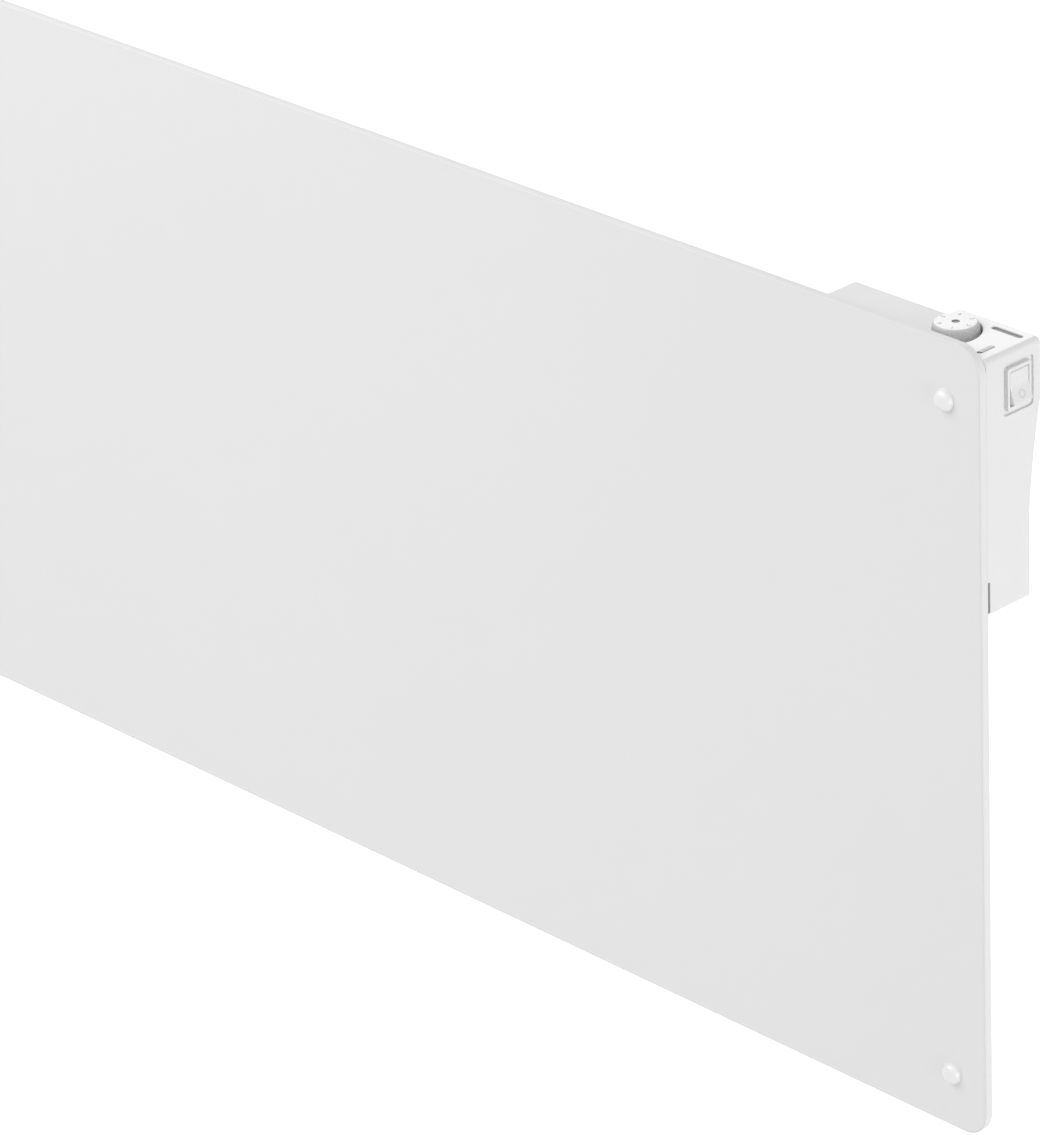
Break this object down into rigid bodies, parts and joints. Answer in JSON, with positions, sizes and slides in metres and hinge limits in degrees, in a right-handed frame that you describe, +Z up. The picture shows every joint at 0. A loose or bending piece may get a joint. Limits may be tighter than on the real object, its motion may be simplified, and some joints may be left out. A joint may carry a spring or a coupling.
{
  "type": "infrared panel heater",
  "caption": "Low, wide wall-hung infrared heater: flat white glass front on a louvred steel tray, with a control housing behind its upper right corner and a hook-on wall bracket.",
  "frame": {"origin": "middle of the wall bracket's upper rail, on its rear face, which lies on the wall", "axes": "+X to the right along the heater's length, +Y into the wall, +Z up; the glass front faces -Y"},
  "size_m": [1.003, 0.0654, 0.37],
  "materials": {
    "enamelled_glass": "white enamelled behind, polished, opaque",
    "screw_steel": "satin polished",
    "zinc_steel": "zinc plated",
    "painted_steel": "matt powder coat",
    "white_plastic": "fine moulded texture",
    "knob_plastic": "satin gloss",
    "switch_plastic": "satin gloss",
    "lens_plastic": "smoked",
    "black_plastic": "moulded",
    "board_laminate": "solder mask",
    "silicone": "matt",
    "aluminium": "mill finish",
    "element_foil": "etched resistance foil",
    "mineral_wool": "pressed fibre",
    "brass": "bright"
  },
  "bodies": {
    "wall_bracket": {"upper_rail": "painted_steel", "lower_rail": "painted_steel", "upright_left": "painted_steel", "upright_right": "painted_steel", "bracket_rivet_upper_left": "zinc_steel", "bracket_rivet_upper_right": "zinc_steel", "bracket_rivet_lower_left": "zinc_steel", "bracket_rivet_lower_right": "zinc_steel", "lock_pivot_left": "zinc_steel", "lock_pivot_right": "zinc_steel"},
    "heater": {"front_glass": "enamelled_glass", "corner_screw_bottom_left": "screw_steel", "corner_screw_bottom_right": "screw_steel", "corner_screw_top_left": "screw_steel", "corner_screw_top_right": "screw_steel", "glass_spacer_bottom_left": "silicone", "glass_spacer_bottom_right": "silicone", "glass_spacer_top_left": "silicone", "glass_spacer_top_right": "silicone", "corner_nut_bottom_left": "zinc_steel", "corner_nut_bottom_right": "zinc_steel", "corner_nut_top_left": "zinc_steel", "corner_nut_top_right": "zinc_steel", "rear_tray": "painted_steel", "heat_spreader": "aluminium", "heating_element": "element_foil", "insulation_board": "mineral_wool", "overheat_cutout": "black_plastic", "heater_lead_lower": "silicone", "heater_lead_upper": "silicone", "lead_grommet": "silicone", "hanger_left": "zinc_steel", "hanger_right": "zinc_steel", "lower_catch_left": "zinc_steel", "lower_catch_right": "zinc_steel", "control_housing": "white_plastic", "housing_screw_1": "zinc_steel", "housing_screw_2": "zinc_steel", "housing_screw_3": "zinc_steel", "circuit_board": "board_laminate", "board_screw_1": "zinc_steel", "board_screw_2": "zinc_steel", "relay": "black_plastic", "terminal_block": "switch_plastic", "air_sensor": "black_plastic", "pilot_lens": "lens_plastic", "pilot_lamp": "lens_plastic", "thermostat_body": "black_plastic", "thermostat_nut": "zinc_steel", "rocker_switch_body": "switch_plastic", "switch_terminal_1": "brass", "switch_terminal_2": "brass", "cable_gland": "switch_plastic", "gland_nut": "switch_plastic"},
    "knob": {"setting_knob": "knob_plastic", "thermostat_shaft": "aluminium"},
    "rocker": {"rocker": "switch_plastic"},
    "lock_left": {"lock_lever_left": "zinc_steel"},
    "lock_right": {"lock_lever_right": "zinc_steel"}
  },
  "joints": [
    {"name": "heater_lift", "type": "slide", "parent": "wall_bracket", "child": "heater", "axis": [0, 0, 1], "range_m": [0, 0.016]},
    {"name": "knob_turn", "type": "hinge", "parent": "heater", "child": "knob", "pos_m": [0.4685, -0.0416, 0.085], "axis": [0, 0, -1], "range_deg": [0, 270]},
    {"name": "rocker_tip", "type": "hinge", "parent": "heater", "child": "rocker", "pos_m": [0.4988, -0.0387, 0.0681], "axis": [0, 1, 0], "range_deg": [0, 20]},
    {"name": "lock_left_turn", "type": "hinge", "parent": "wall_bracket", "child": "lock_left", "pos_m": [-0.15, -0.0235, -0.214], "axis": [0, -1, 0], "range_deg": [0, 90]},
    {"name": "lock_right_turn", "type": "hinge", "parent": "wall_bracket", "child": "lock_right", "pos_m": [0.15, -0.0235, -0.214], "axis": [0, 1, 0], "range_deg": [0, 90]}
  ]
}
